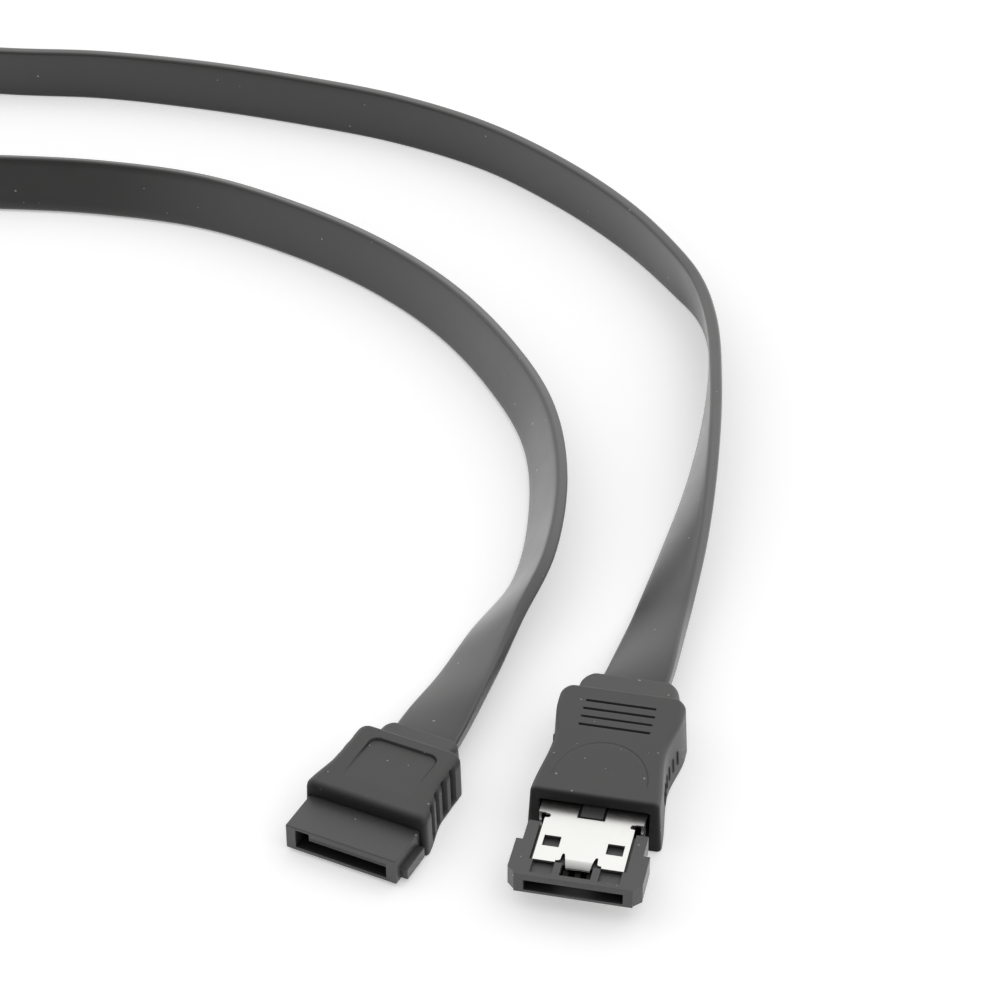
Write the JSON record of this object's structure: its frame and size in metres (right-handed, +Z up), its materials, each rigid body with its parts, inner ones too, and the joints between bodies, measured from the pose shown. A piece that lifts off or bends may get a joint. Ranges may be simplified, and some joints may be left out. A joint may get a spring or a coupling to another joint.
{
  "type": "esata to sata cable",
  "caption": "Flat drive cable lying in a loop, with a shielded slot plug moulded on one end and an L-keyed slot plug on the other.",
  "frame": {"origin": "on the surface the cable lies on, under the middle of the box round the two plugs (the free cord is left out of that box)", "axes": "-Y out of the shielded plug's mouth, +Y back along that plug towards its cord, +X across it, +Z up; the keyed plug lies on the -X side, turned 13.87 degrees about Z"},
  "size_m": [0.169, 0.1624, 0.0077],
  "materials": {
    "esata_boot": "matte black moulding",
    "esata_housing": "satin black",
    "esata_shield_top": "bright stamped sheet",
    "esata_shield_bottom": "bright stamped sheet",
    "esata_contact_1": "gold flashed spring",
    "esata_contact_2": "gold flashed spring",
    "esata_contact_3": "gold flashed spring",
    "esata_contact_4": "gold flashed spring",
    "esata_contact_5": "gold flashed spring",
    "esata_contact_6": "gold flashed spring",
    "esata_contact_7": "gold flashed spring",
    "sata_boot": "matte black moulding",
    "sata_housing": "satin black",
    "sata_contact_1": "gold flashed spring",
    "sata_contact_2": "gold flashed spring",
    "sata_contact_3": "gold flashed spring",
    "sata_contact_4": "gold flashed spring",
    "sata_contact_5": "gold flashed spring",
    "sata_contact_6": "gold flashed spring",
    "sata_contact_7": "gold flashed spring",
    "cable": "satin black jacket"
  },
  "bodies": {
    "root": {"esata_boot": "esata_boot", "esata_housing": "esata_housing", "esata_shield_top": "esata_shield_top", "esata_shield_bottom": "esata_shield_bottom", "esata_contact_1": "esata_contact_1", "esata_contact_2": "esata_contact_2", "esata_contact_3": "esata_contact_3", "esata_contact_4": "esata_contact_4", "esata_contact_5": "esata_contact_5", "esata_contact_6": "esata_contact_6", "esata_contact_7": "esata_contact_7", "sata_boot": "sata_boot", "sata_housing": "sata_housing", "sata_contact_1": "sata_contact_1", "sata_contact_2": "sata_contact_2", "sata_contact_3": "sata_contact_3", "sata_contact_4": "sata_contact_4", "sata_contact_5": "sata_contact_5", "sata_contact_6": "sata_contact_6", "sata_contact_7": "sata_contact_7", "cable": "cable"}
  },
  "joints": []
}
